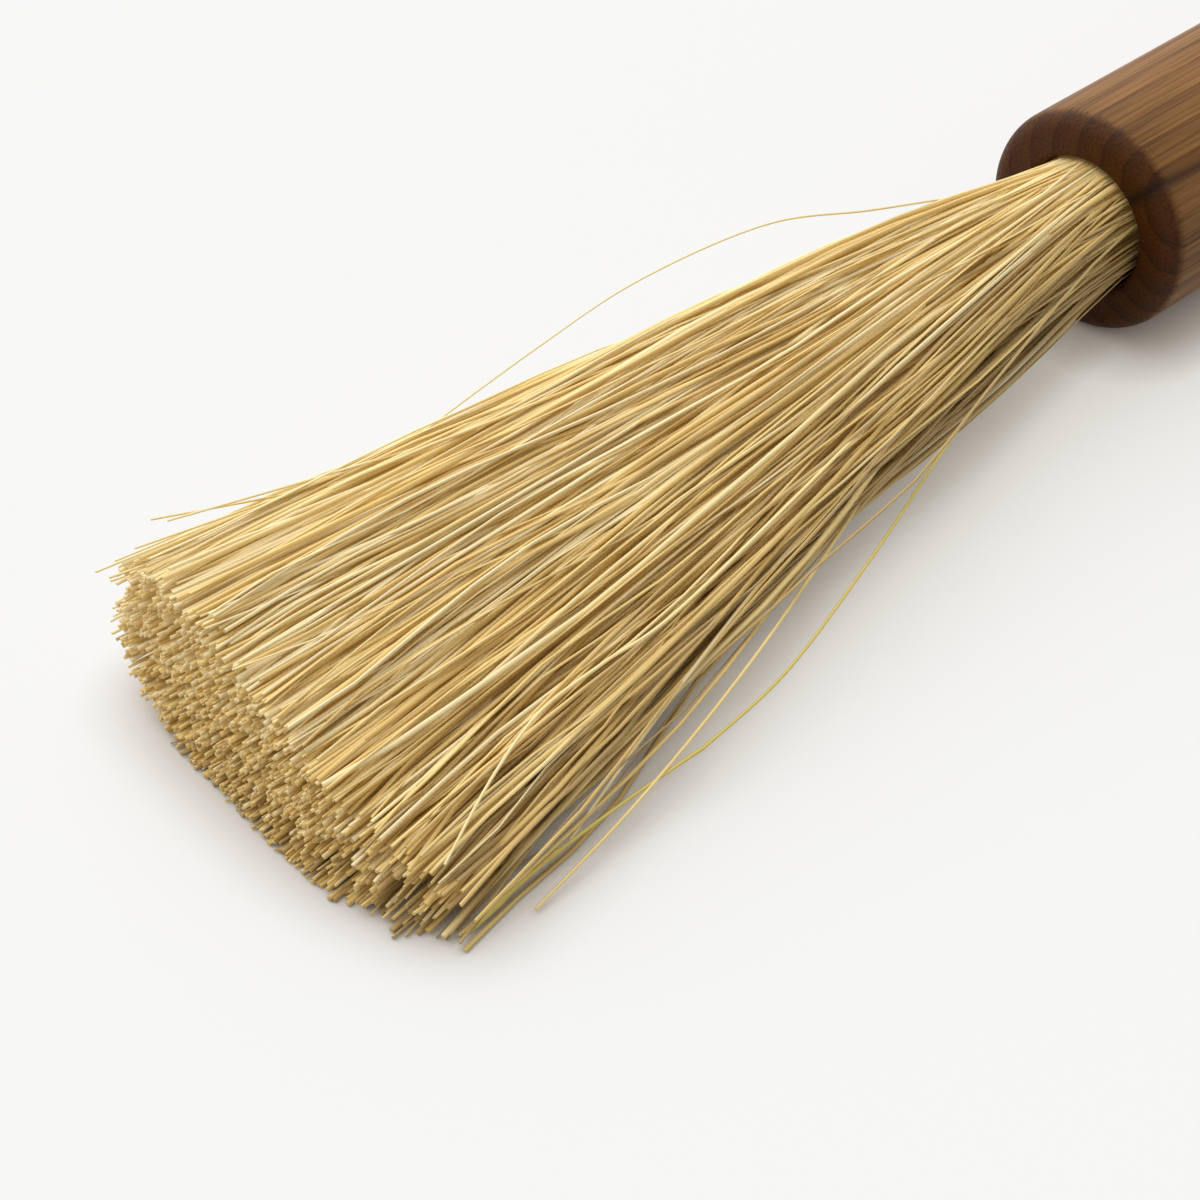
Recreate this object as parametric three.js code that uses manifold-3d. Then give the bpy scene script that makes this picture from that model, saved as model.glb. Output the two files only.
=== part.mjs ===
// A body dry brush: one thick bunch of stiff agave fibre, set in a socket in the end of a turned handle.
//
// The bunch is round where it leaves the handle and opens into a flat fan, cut straight across its tip.
// Inside the socket its roots are gathered in four hanks, whipped together with waxed twine and set on
// resin. The brush is modelled as it lies on a table: its handle along X, its bristles towards -X, its fan
// flat, and the origin below the middle of its box, on the table. All sizes are millimetres.

import * as THREE from 'three';
import { mergeVertices } from 'three/addons/utils/BufferGeometryUtils.js';
import Module from 'manifold-3d';

const wasm = await Module();
wasm.setup();

// ---- driving dimensions ----

// Handle: a turned stick, straight at the socket, slimmer towards the butt
const HANDLE_LENGTH = 140;
const HANDLE_RADIUS = 13;
const MOUTH_ROUND = 2.4; // the rounded outer edge of the socket end
const MOUTH_CHAMFER = 0.7; // the eased inner edge, where the bristles come out
const STRAIGHT_LENGTH = 84; // from the mouth to where the taper starts; the handle rests on it
const WAIST_RADIUS = 10.4; // the slimmest place, just before the butt
const WAIST_FROM_BUTT = 27;
const BUTT_RADIUS = 11.6; // the swell that stops the hand
const BUTT_ROUND = 5.2; // the rounded edge of the butt
const HANG_HOLE_RADIUS = 3.6;
const HANG_HOLE_FROM_BUTT = 13;
const CURVE_EASE = 0.4; // how far the taper and the swell keep to their first direction, as a share

// Socket
const SOCKET_DEPTH = 30;
const FIT = 0.3; // clearance between pieces that seat on each other

// Bunch
const BUNCH_RADIUS = 7.75; // where it leaves the handle
const ROOT_PROUD = 1; // how far the gathered roots stand out of the mouth
const FREE_LENGTH = 114; // from the mouth to the cut ends
const TIP_WIDTH = 54; // of the whole fan, across its cut ends
const TIP_THICKNESS = 12.5;
const TIP_SQUARENESS = 0.55; // 0 is an oval tip and 1 a square-cornered one
const CUT_UNEVENNESS = 1.6; // how much the cut ends differ in length
const FAN_POWER = 0.92; // below 1 the fan opens soonest near the handle
const SAG_POWER = 1.4; // above 1 the bunch droops mostly near its tip

// Strands: each stands for about five of the real fibres
const STRAND_PITCH = 0.78; // between neighbours in the mouth
const STRAND_ROOT_RADIUS = 0.24;
const STRAND_TIP_RADIUS = 0.48; // wider, to fill the open fan as the many fine fibres do
const STRAND_BURIED = 3; // how far a strand runs into the gathered roots

// Twine that whips the roots together
const TWINE_RADIUS = 0.45;
const TWINE_TURNS = 6;
const TWINE_GAP = 0.5; // between one turn and the next
const TWINE_FROM_MOUTH = 7;
const SHOULDER = 1.6; // the slope from the full bunch down to the bound waist

// Resin plug that the roots are set on
const RESIN_THICKNESS = 3;

// Facets
const TURNED_SIDES = 48;
const ROUND_POINTS = 5;
const GRIP_POINTS = 8;
const SWELL_POINTS = 6;
const DRILL_SIDES = 24;
const TWINE_STEPS = 24;
const TWINE_SIDES = 6;
const STRAND_STEPS = 2;
const STRAND_SIDES = 3;

// ---- sizes that follow ----

const SOCKET_RADIUS = BUNCH_RADIUS + FIT;
const BOUND_RADIUS = SOCKET_RADIUS - 2 * FIT - 2 * TWINE_RADIUS;
const TWINE_PITCH = 2 * TWINE_RADIUS + TWINE_GAP;
const TWINE_LENGTH = TWINE_TURNS * TWINE_PITCH;
const RESIN_FACE = SOCKET_DEPTH - FIT - RESIN_THICKNESS;
const ROOT_END = RESIN_FACE - FIT;
const SAG = HANDLE_RADIUS - TIP_THICKNESS / 2; // brings the fan's underside down to the table
const PACKED_RADIUS = BUNCH_RADIUS - STRAND_ROOT_RADIUS;
const ROW_PITCH = (STRAND_PITCH * Math.sqrt(3)) / 2;
const STAGGER = [0.25, 0.75]; // where the strands of an even and of an odd row stand, in pitches
const GOLDEN_SHARE = (Math.sqrt(5) - 1) / 2; // spreads the cut lengths evenly, with no pattern

// ---- materials ----

const oiledWood = new THREE.MeshStandardMaterial({ color: 0x80562f, roughness: 0.55, metalness: 0 });
const fibre = new THREE.MeshStandardMaterial({ color: 0xd8bd82, roughness: 0.6, metalness: 0 });
const waxedTwine = new THREE.MeshStandardMaterial({ color: 0xb9a47a, roughness: 0.7, metalness: 0 });
const resin = new THREE.MeshStandardMaterial({ color: 0x4a2c14, roughness: 0.35, metalness: 0 });

// ---- from three.js geometry to a solid and back ----

function solidOf(geometry) {
  const bare = geometry.index ? geometry.toNonIndexed() : geometry.clone();
  bare.deleteAttribute('normal');
  bare.deleteAttribute('uv');
  const merged = mergeVertices(bare, 1e-4);
  const mesh = new wasm.Mesh({
    numProp: 3,
    vertProperties: merged.attributes.position.array,
    triVerts: new Uint32Array(merged.index.array),
  });
  return new wasm.Manifold(mesh);
}

function geometryOf(solid) {
  const { numProp, numVert, vertProperties, triVerts } = solid.getMesh();
  const positions = new Float32Array(numVert * 3);
  for (let i = 0; i < numVert; i++) {
    positions.set(vertProperties.subarray(i * numProp, i * numProp + 3), i * 3);
  }
  const geometry = new THREE.BufferGeometry();
  geometry.setAttribute('position', new THREE.BufferAttribute(positions, 3));
  geometry.setIndex(new THREE.BufferAttribute(triVerts, 1));
  geometry.computeVertexNormals();
  return geometry;
}

function piece(name, geometry, material) {
  const mesh = new THREE.Mesh(geometry, material);
  mesh.name = name;
  return mesh;
}

// A profile of (distance from the mouth, radius) points, turned about the handle's axis, which is X.
function turned(profile) {
  const points = profile.map(([along, radius]) => new THREE.Vector2(radius, along));
  return new THREE.LatheGeometry(points, TURNED_SIDES).rotateZ(-Math.PI / 2);
}

// The points of a quarter circle from angle a to angle b, in degrees, about (along, radius).
function quarterRound(along, radius, size, a, b) {
  return Array.from({ length: ROUND_POINTS + 1 }, (_, i) => {
    const angle = THREE.MathUtils.degToRad(a + ((b - a) * i) / ROUND_POINTS);
    return [along + size * Math.cos(angle), radius + size * Math.sin(angle)];
  });
}

// A closed skin over a row of rings of points, each ring with the same number of points.
function skinOver(tubes) {
  const positions = [];
  const index = [];
  for (const rings of tubes) {
    const first = positions.length / 3;
    const sides = rings[0].length;
    rings.flat().forEach((p) => positions.push(p.x, p.y, p.z));
    for (let r = 0; r + 1 < rings.length; r++) {
      for (let s = 0; s < sides; s++) {
        const a = first + r * sides + s;
        const b = first + r * sides + ((s + 1) % sides);
        index.push(a, b, b + sides, a, b + sides, a + sides);
      }
    }
    const last = first + (rings.length - 1) * sides;
    for (let s = 1; s + 1 < sides; s++) {
      index.push(first, first + s + 1, first + s);
      index.push(last, last + s, last + s + 1);
    }
  }
  const geometry = new THREE.BufferGeometry();
  geometry.setAttribute('position', new THREE.Float32BufferAttribute(positions, 3));
  geometry.setIndex(index);
  return geometry;
}

// ---- handle ----

function handle() {
  // The long outline: straight from the mouth, then one smooth taper to the waist and a swell to the butt.
  const waist = HANDLE_LENGTH - WAIST_FROM_BUTT;
  const buttEdge = HANDLE_LENGTH - BUTT_ROUND;
  const grip = new THREE.CubicBezierCurve(
    new THREE.Vector2(STRAIGHT_LENGTH, HANDLE_RADIUS),
    new THREE.Vector2(THREE.MathUtils.lerp(STRAIGHT_LENGTH, waist, CURVE_EASE), HANDLE_RADIUS),
    new THREE.Vector2(THREE.MathUtils.lerp(STRAIGHT_LENGTH, waist, 1 - CURVE_EASE), WAIST_RADIUS),
    new THREE.Vector2(waist, WAIST_RADIUS),
  );
  const swell = new THREE.CubicBezierCurve(
    new THREE.Vector2(waist, WAIST_RADIUS),
    new THREE.Vector2(THREE.MathUtils.lerp(waist, buttEdge, CURVE_EASE), WAIST_RADIUS),
    new THREE.Vector2(THREE.MathUtils.lerp(waist, buttEdge, 1 - CURVE_EASE), BUTT_RADIUS),
    new THREE.Vector2(buttEdge, BUTT_RADIUS),
  );
  const outline = [
    [SOCKET_DEPTH, 0],
    [SOCKET_DEPTH, SOCKET_RADIUS],
    [MOUTH_CHAMFER, SOCKET_RADIUS],
    [0, SOCKET_RADIUS + MOUTH_CHAMFER],
    ...quarterRound(MOUTH_ROUND, HANDLE_RADIUS - MOUTH_ROUND, MOUTH_ROUND, 180, 90),
    ...grip.getPoints(GRIP_POINTS).map((p) => [p.x, p.y]),
    ...swell.getPoints(SWELL_POINTS).slice(1, -1).map((p) => [p.x, p.y]),
    ...quarterRound(buttEdge, BUTT_RADIUS - BUTT_ROUND, BUTT_ROUND, 90, 0),
    [HANDLE_LENGTH, 0],
  ];
  const drillLength = 3 * HANDLE_RADIUS; // longer than the handle is thick, so it comes out on both sides
  const drill = new THREE.CylinderGeometry(HANG_HOLE_RADIUS, HANG_HOLE_RADIUS, drillLength, DRILL_SIDES)
    .rotateX(Math.PI / 2)
    .translate(HANDLE_LENGTH - HANG_HOLE_FROM_BUTT, 0, 0);
  const wood = solidOf(turned(outline)).subtract(solidOf(drill));
  return piece('handle', geometryOf(wood), oiledWood);
}

// ---- resin plug and twine, inside the socket ----

function resinPlug() {
  const outline = [
    [RESIN_FACE, 0],
    [RESIN_FACE, BUNCH_RADIUS],
    [RESIN_FACE + RESIN_THICKNESS, BUNCH_RADIUS],
    [RESIN_FACE + RESIN_THICKNESS, 0],
  ];
  return piece('resin_plug', turned(outline), resin);
}

// One unbroken length of twine, wound side by side round the bound waist of the bunch, with straight ends.
function rootTwine() {
  const windingRadius = BOUND_RADIUS + FIT + TWINE_RADIUS;
  const start = TWINE_FROM_MOUTH + SHOULDER + TWINE_RADIUS + TWINE_GAP / 2;
  const wound = Array.from({ length: TWINE_TURNS * TWINE_STEPS + 1 }, (_, i) => {
    const angle = (2 * Math.PI * i) / TWINE_STEPS;
    const outward = new THREE.Vector3(0, Math.cos(angle), Math.sin(angle));
    const along = start + (TWINE_PITCH * i) / TWINE_STEPS;
    return { middle: outward.clone().multiplyScalar(windingRadius).setX(along), outward };
  });
  const straightEnd = ({ middle, outward }, way) => {
    const ahead = new THREE.Vector3(1, 0, 0).cross(outward).multiplyScalar(way * 2 * TWINE_RADIUS);
    return { middle: middle.clone().add(ahead), outward };
  };
  const route = [straightEnd(wound[0], -1), ...wound, straightEnd(wound.at(-1), 1)];
  const rings = route.map(({ middle, outward }) =>
    Array.from({ length: TWINE_SIDES }, (_, s) => {
      const around = (-2 * Math.PI * s) / TWINE_SIDES;
      const rim = middle.clone().addScaledVector(outward, TWINE_RADIUS * Math.cos(around));
      return rim.setX(rim.x + TWINE_RADIUS * Math.sin(around));
    }),
  );
  const gap = leastGap(route.map(({ middle }) => middle));
  console.log('least gap between turns of twine:', gap.toFixed(2), 'mm');
  return piece('root_twine', skinOver([rings]), waxedTwine);
}

// The least gap of the twine to itself, over all pairs of points that lie at least half a turn apart.
function leastGap(points) {
  let least = Infinity;
  for (let i = 0; i < points.length; i++) {
    for (let j = i + TWINE_STEPS / 2; j < points.length; j++) {
      least = Math.min(least, points[i].distanceTo(points[j]) - 2 * TWINE_RADIUS);
    }
  }
  return least;
}

// ---- bristles ----

// The gathered roots: full at the mouth and at the resin, with a waist where the twine runs.
function gatheredRoots() {
  const waistStart = TWINE_FROM_MOUTH + SHOULDER;
  const waistEnd = waistStart + TWINE_LENGTH + 2 * TWINE_RADIUS + TWINE_GAP;
  return solidOf(
    turned([
      [-ROOT_PROUD, 0],
      [-ROOT_PROUD, BUNCH_RADIUS],
      [TWINE_FROM_MOUTH, BUNCH_RADIUS],
      [waistStart, BOUND_RADIUS],
      [waistEnd, BOUND_RADIUS],
      [waistEnd + SHOULDER, BUNCH_RADIUS],
      [ROOT_END, BUNCH_RADIUS],
      [ROOT_END, 0],
    ]),
  );
}

// Takes a point of the unit disc towards the matching point of the unit square. On an axis the two agree.
function squareUp(y, z) {
  const onAxis = (value) => Math.abs(value) < 1e-6;
  const yy = y * y;
  const zz = z * z;
  const root = Math.sqrt(Math.max(0, (yy + zz) * (yy + zz - 4 * yy * zz)));
  const reach = Math.sqrt(Math.max(0, yy + zz - root));
  const squareY = onAxis(z) ? y : (Math.sign(y) * reach) / (Math.SQRT2 * Math.abs(z));
  const squareZ = onAxis(y) ? z : (Math.sign(z) * reach) / (Math.SQRT2 * Math.abs(y));
  return [
    THREE.MathUtils.lerp(y, squareY, TIP_SQUARENESS),
    THREE.MathUtils.lerp(z, squareZ, TIP_SQUARENESS),
  ];
}

// The places of the strands, in staggered rows across the mouth. Towards the tip two rows flatten into one
// layer, where the stagger puts their strands side by side, so no strand crosses another.
function strandPlaces() {
  const rows = Math.ceil(PACKED_RADIUS / ROW_PITCH);
  const columns = Math.ceil(PACKED_RADIUS / STRAND_PITCH);
  const found = [];
  for (let row = -rows; row < rows; row++) {
    for (let column = -columns; column < columns; column++) {
      const y = (column + STAGGER[row % 2 === 0 ? 0 : 1]) * STRAND_PITCH;
      const z = (row + 0.5) * ROW_PITCH;
      const layer = (2 * Math.floor(row / 2) + 1) * ROW_PITCH;
      if (Math.hypot(y, z) <= PACKED_RADIUS) {
        found.push({ y, z, layer, number: found.length });
      }
    }
  }
  return found;
}

// One strand's rings, from inside the gathered roots to its cut end.
function strandRings({ y, z, layer, number }) {
  // The hanks lie FIT apart, so a strand keeps that side of the seam that its own hank is on.
  const seam = FIT / 2 + STRAND_ROOT_RADIUS;
  const fromSeam = (along) => Math.sign(along) * seam + along * (1 - seam / PACKED_RADIUS);
  const reach = Math.max(1, Math.hypot(y, layer) / PACKED_RADIUS) * PACKED_RADIUS;
  const [tipY, tipZ] = squareUp(y / reach, layer / reach);
  const endY = tipY * (TIP_WIDTH / 2 - STRAND_TIP_RADIUS);
  const endZ = tipZ * (TIP_THICKNESS / 2 - STRAND_TIP_RADIUS);
  const length = FREE_LENGTH - CUT_UNEVENNESS * ((number * GOLDEN_SHARE) % 1);
  const ringAt = (x, share) => {
    const middleY = THREE.MathUtils.lerp(fromSeam(y), endY, share ** FAN_POWER);
    const middleZ = THREE.MathUtils.lerp(fromSeam(z), endZ, share) - SAG * share ** SAG_POWER;
    const radius = THREE.MathUtils.lerp(STRAND_ROOT_RADIUS, STRAND_TIP_RADIUS, share);
    const outermost = y > 0 ? 0 : Math.PI;
    return Array.from({ length: STRAND_SIDES }, (_, s) => {
      const around = outermost - (2 * Math.PI * s) / STRAND_SIDES;
      return new THREE.Vector3(x, middleY + radius * Math.cos(around), middleZ + radius * Math.sin(around));
    });
  };
  const shares = Array.from({ length: STRAND_STEPS + 1 }, (_, step) => step / STRAND_STEPS);
  return [ringAt(STRAND_BURIED, 0), ...shares.map((share) => ringAt(-length * share, share))];
}

// One quarter of the bunch: its share of the gathered roots, with its own strands standing out of it.
// Left is the side of -Y, which is on the left for the hand that holds the brush.
function hank(name, sideY, sideZ) {
  const quarter = new THREE.BoxGeometry(4 * SOCKET_DEPTH, 2 * BUNCH_RADIUS, 2 * BUNCH_RADIUS).translate(
    0,
    sideY * (BUNCH_RADIUS + FIT / 2),
    sideZ * (BUNCH_RADIUS + FIT / 2),
  );
  const roots = gatheredRoots().intersect(solidOf(quarter));
  const own = strandPlaces().filter(({ y, z }) => y * sideY > 0 && z * sideZ > 0);
  const strands = solidOf(skinOver(own.map(strandRings)));
  return piece(name, geometryOf(roots.add(strands)), fibre);
}

// ---- assembly ----

const brush = new THREE.Group();
brush.add(
  handle(),
  resinPlug(),
  rootTwine(),
  hank('upper_left_bristles', -1, 1),
  hank('upper_right_bristles', 1, 1),
  hank('lower_left_bristles', -1, -1),
  hank('lower_right_bristles', 1, -1),
);

// Everything above is built with the mouth of the socket at the origin. Here it is set down on the table.
brush.position.set((FREE_LENGTH - HANDLE_LENGTH) / 2, 0, HANDLE_RADIUS);

export default brush;
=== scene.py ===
# %% [markdown]
# # A body dry brush
#
# The brush is a bundle of stiff, pale agave fibre, set in the end of a turned wooden handle. It lies on a
# white table. The bundle is round where it leaves the wood and opens into a flat fan, which is cut straight
# across. This notebook dresses a plain model of that brush. The handle gets its wood, and more than two
# thousand separate fibres take the place of the plain bundle. Each step says what the real thing is like,
# and why it is made the way it is.

# %% Load the plain model
import math
from functools import partial

import bmesh
import bpy
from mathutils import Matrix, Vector
from mathutils.geometry import interpolate_bezier


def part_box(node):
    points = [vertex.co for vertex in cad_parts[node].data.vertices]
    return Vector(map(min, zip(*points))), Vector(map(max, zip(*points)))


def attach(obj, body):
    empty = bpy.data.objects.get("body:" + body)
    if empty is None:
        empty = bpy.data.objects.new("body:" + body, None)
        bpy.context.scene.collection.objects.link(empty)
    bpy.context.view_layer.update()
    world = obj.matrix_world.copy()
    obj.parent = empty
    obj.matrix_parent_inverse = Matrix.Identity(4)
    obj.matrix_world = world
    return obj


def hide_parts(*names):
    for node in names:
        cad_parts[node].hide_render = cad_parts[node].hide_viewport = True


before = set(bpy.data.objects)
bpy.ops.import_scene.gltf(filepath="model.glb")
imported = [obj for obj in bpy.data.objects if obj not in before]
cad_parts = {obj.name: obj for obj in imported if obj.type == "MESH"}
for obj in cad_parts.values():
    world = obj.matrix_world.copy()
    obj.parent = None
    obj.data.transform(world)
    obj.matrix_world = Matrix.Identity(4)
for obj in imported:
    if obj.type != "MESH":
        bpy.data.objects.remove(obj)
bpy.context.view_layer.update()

MM = 0.001

# %% [markdown]
# ## Sizes
#
# Blender works in metres here, and the brush lies along X: its handle towards +X, its fibre tips towards -X.
# Everything is measured from the mouth of the socket, on the handle's own axis. Both come from the box of
# the plain handle, so the dressed brush sits exactly where the plain one does.
#
# The camera stands on the side of -Y, so that side is called the near side and +Y the far side. The names of
# the hanks call -Y left, which is how the hand that holds the brush has it.

# %% The mouth of the socket, the axis and the fan
HANDLE_LOW, HANDLE_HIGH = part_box("handle")
HANDLE_RADIUS = (HANDLE_HIGH[2] - HANDLE_LOW[2]) / 2
HANDLE_LENGTH = HANDLE_HIGH[0] - HANDLE_LOW[0]
MOUTH = Vector((HANDLE_LOW[0], 0, HANDLE_LOW[2] + HANDLE_RADIUS))
HANKS = {
    "upper_left_bristles": (-1, 1),
    "upper_right_bristles": (1, 1),
    "lower_left_bristles": (-1, -1),
    "lower_right_bristles": (1, -1),
}
FREE_LENGTH = MOUTH.x - min(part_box(name)[0][0] for name in HANKS)
BUNCH_RADIUS = 7.7 * MM
FAN_THICKNESS = 12.5 * MM

print(f"handle {HANDLE_LENGTH / MM:.0f} mm long and {2 * HANDLE_RADIUS / MM:.0f} mm thick")
print(f"fan {FREE_LENGTH / MM:.0f} mm long")

# %% [markdown]
# ## Small helpers
#
# Colours are written as they look on a screen, as sRGB hex values. Blender's shaders add up light, so they
# want linear numbers, and one function turns the first into the second. Another adds a node to any tree,
# with its settings and links, because both the fibres and the materials are built from nodes. A node that
# feeds another stands for its first output that is switched on. The rest start a material, a tree or an
# object, and the first two also give back add_node for that one tree.

# %% Colours, nodes and objects
MATH = "ShaderNodeMath"
VECTOR = "ShaderNodeVectorMath"
MAP_RANGE = "ShaderNodeMapRange"  # value, from least, from most, to least, to most
RANDOM = "FunctionNodeRandomValue"
MIDDLE = (0.5, 0.5, 0.5)  # taken off a random colour, so that it strays to both sides


def linear(hex_colour):
    """The linear RGBA value of an sRGB hex colour such as "#C9A861"."""
    channels = [int(hex_colour[i : i + 2], 16) / 255 for i in (1, 3, 5)]
    return [c / 12.92 if c <= 0.04045 else ((c + 0.055) / 1.055) ** 2.4 for c in channels] + [1]


def add_node(tree, kind, inputs=None, operation=None, **settings):
    """Adds one node. inputs lists what its sockets get, or maps a socket's name or number to that."""
    node = tree.nodes.new(kind)
    if operation:
        node.operation = operation
    for name, value in settings.items():
        setattr(node, name, value)
    if isinstance(inputs, list):
        inputs = dict(enumerate(inputs))
    for key, value in (inputs or {}).items():
        if isinstance(value, bpy.types.Node):
            value = next(output for output in value.outputs if output.enabled)
        if isinstance(value, bpy.types.NodeSocket):
            tree.links.new(value, node.inputs[key])
        else:
            node.inputs[key].default_value = value
    return node


def new_material(name):
    """An empty material, and add_node for it."""
    material = bpy.data.materials.new(name)
    material.use_nodes = True
    material.node_tree.nodes.clear()
    return material, partial(add_node, material.node_tree)


def set_stops(ramp, stops):
    """Gives a colour ramp its stops, as {place: colour}."""
    for place in list(stops)[1:-1]:
        ramp.elements.new(place)
    for element, (place, colour) in zip(ramp.elements, stops.items()):
        element.position = place
        element.color = linear(colour)


def new_tree(name, inputs):
    """A tree with these inputs, as {name: number or kind of socket}, add_node for it, and its inputs."""
    tree = bpy.data.node_groups.new(name, "GeometryNodeTree")
    tree.interface.new_socket("Geometry", in_out="OUTPUT", socket_type="NodeSocketGeometry")
    for label, value in inputs.items():
        kind = value if isinstance(value, str) else type(value).__name__.title()
        socket = tree.interface.new_socket(label, in_out="INPUT", socket_type="NodeSocket" + kind)
        if kind != value:
            socket.default_value = value
    add = partial(add_node, tree)
    return tree, add, add("NodeGroupInput").outputs


def placed(name, data):
    """A new object in the scene, with this mesh, lamp or camera."""
    thing = bpy.data.objects.new(name, data)
    bpy.context.scene.collection.objects.link(thing)
    return thing


print("helpers ready, mid straw is", [round(c, 3) for c in linear("#D9B96E")])

# %% [markdown]
# ## The fibre
#
# Agave fibre is scraped out of a leaf and dried in the sun. It is stiff, a little flattened and about a third
# of a millimetre thick. Its dry wax gives a soft sheen. No two fibres have the same colour: most are straw,
# some are bleached almost white, some are a warm gold, and each one changes along its length.
#
# Each fibre carries its values as attributes: a random tone, its place along its own length, how much
# painted light or painted shade it gets, and whether it is still green. The material looks the colour up by
# the tone. A slow noise along the fibre shifts it, the worn end is paler, and the painted light and shade
# move it too: the far side is painted lighter, where the light falls, and the near side and the underside
# darker, where shade falls. The cut ends show darker pith. They are the only faces that look along X, so the
# normal tells the material where they are.
#
# The gaps between the real fibres look golden, because light seeps through the bundle from fibre to fibre.
# That takes very many bounces, so a weak golden emission, a painted glow, stands for it. It is stronger
# where a fibre gets more painted light. It is far too weak for a lamp, and Cycles is told not to sample it as
# one, which would slow the render down.

# %% Dried agave fibre
# The painted shade lowers a fibre's tone towards the dim first stop, and the painted light raises it towards
# the pale last one.
TONES = {0.0: "#B79D69", 0.25: "#D8B974", 0.55: "#E5CB87", 0.8: "#E9D49A", 1.0: "#EBDDB3"}
GREEN_FIBRE = "#C2B655"
CUT_PITH = "#9C7C48"
CUT_FACING = (0.6, 0.9)
SEEPING_LIGHT = "#EDBE62"
TONE_DRIFT = 0.25
DRIFTS_ALONG = 7.0
NOISE_ROWS = 300.0  # the tone times this is a row of the noise that no other fibre has
WORN_FROM = 0.6
WORN_PALER = 0.2
PITH_SHOWS = 0.45
LEAST_GLOW = 0.04
PAINTED_LIGHT_GLOW = 0.06


def dried_agave_fibre():
    """Dried agave fibre: straw-coloured and slightly waxy, never quite the same colour twice, with painted
    light, painted shade and a painted glow.
    """
    material, add = new_material("dried_agave_fibre")
    tone, along, green, bleached = [
        add("ShaderNodeAttribute", attribute_name=mark).outputs["Fac"]
        for mark in ("tone", "along", "green", "bleached")
    ]
    own_row = add(MATH, [tone, NOISE_ROWS], "MULTIPLY")
    stretch = add(MATH, [along, DRIFTS_ALONG], "MULTIPLY")
    where = add("ShaderNodeCombineXYZ", [stretch, own_row])
    noise = add("ShaderNodeTexNoise", {"Vector": where, "Scale": 1.0, "Detail": 3.0})
    drift = add(MAP_RANGE, {"Value": noise, "To Min": -TONE_DRIFT, "To Max": TONE_DRIFT})
    worn = add(MAP_RANGE, {"Value": along, "From Min": WORN_FROM, "To Max": WORN_PALER})
    # The painted light and shade are added to the tone, so they move each fibre up or down the ramp.
    shade = tone
    for change in (drift, bleached, worn):
        shade = add(MATH, [shade, change], "ADD")
    straw = add("ShaderNodeValToRGB", [shade])
    set_stops(straw.color_ramp, TONES)
    colour = add("ShaderNodeMix", {0: green, 6: straw, 7: linear(GREEN_FIBRE)}, data_type="RGBA")
    facing = add("ShaderNodeNewGeometry").outputs["True Normal"]
    facing = add(VECTOR, [facing], "ABSOLUTE")
    facing = add("ShaderNodeSeparateXYZ", [facing])
    pith = add(MAP_RANGE, [facing, *CUT_FACING, 0.0, PITH_SHOWS])
    colour = add("ShaderNodeMix", {0: pith, 6: colour, 7: linear(CUT_PITH)}, data_type="RGBA")
    # Painted glow: stronger where the fibre gets painted light, weaker in its painted shade.
    glow = add(MATH, [bleached, PAINTED_LIGHT_GLOW, LEAST_GLOW], "MULTIPLY_ADD", use_clamp=True)
    surface = add(
        "ShaderNodeBsdfPrincipled",
        {
            "Base Color": colour,
            "Roughness": 0.46,
            "IOR": 1.5,
            "Specular IOR Level": 0.45,
            "Emission Color": linear(SEEPING_LIGHT),
            "Emission Strength": glow,
        },
    )
    add("ShaderNodeOutputMaterial", [surface])
    material.cycles.emission_sampling = "NONE"
    return material


AGAVE = dried_agave_fibre()
print("made", AGAVE.name)

# %% [markdown]
# ## The bundle
#
# A bundle of fibre follows a rule, so Geometry Nodes make it. The rule works on a disc that is one unit
# large. Each fibre has a place on that disc, and the disc is the mouth of the socket. The same disc, squared
# up and stretched, is the cut tip. So fibres that start as neighbours end as neighbours, and the fan opens
# without tangling. Everything that makes it look natural is disorder, added on the disc or on the way.
#
# The tree is built over the next cells. First come its inputs, which are the sizes that one may want to turn.

# %% Name the sizes of the bundle
FIBRE_RADIUS = 0.172 * MM
BUNDLE_SIZES = {
    "Fibre Count": 2900,
    "Mouth Radius": BUNCH_RADIUS - FIBRE_RADIUS,
    "Bound Radius": 6.4 * MM,
    "Root Depth": 26.4 * MM,
    "Free Length": FREE_LENGTH,
    "Half Width": 22.7 * MM,
    "Fan Shift": 1.3 * MM,
    "Half Thickness": FAN_THICKNESS / 2,
    "Thicker Far Side": 0.66,
    "Sag": HANDLE_RADIUS - FAN_THICKNESS / 2,
    "Fan Power": 0.92,
    "Sag Power": 1.4,
    "Tuft Scale": 9.0,
    "Tuft Gather": 0.3,
    "Tuft Lean": 0.34,
    "Own Lean": 0.58,
    "Tuft Bow": 7.5 * MM,
    "Own Bow": 5.2 * MM,
    "Fray": 6.6 * MM,
    "Uneven Cut": 1.6 * MM,
    "Slanted Cut": 1.5 * MM,
    "Rounded Corner": 5.2 * MM,
    "Thinning": 0.85,
}
sockets = {**BUNDLE_SIZES, "Side": "Vector", "Material": "Material"}
BUNDLE, in_bundle, given = new_tree("fibre_bundle", sockets)
print("the bundle's sizes:", ", ".join(BUNDLE_SIZES))

# %% [markdown]
# ### A place in the mouth
#
# The seeds of a sunflower fill a disc evenly: each turns on by the golden angle, and its distance grows with
# the square root of its number. The fibres start from that pattern. A small random nudge hides its spirals.

# %% Spread the fibres over the mouth
GOLDEN_ANGLE = math.pi * (3 - math.sqrt(5))
NUDGE = 0.022

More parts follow.
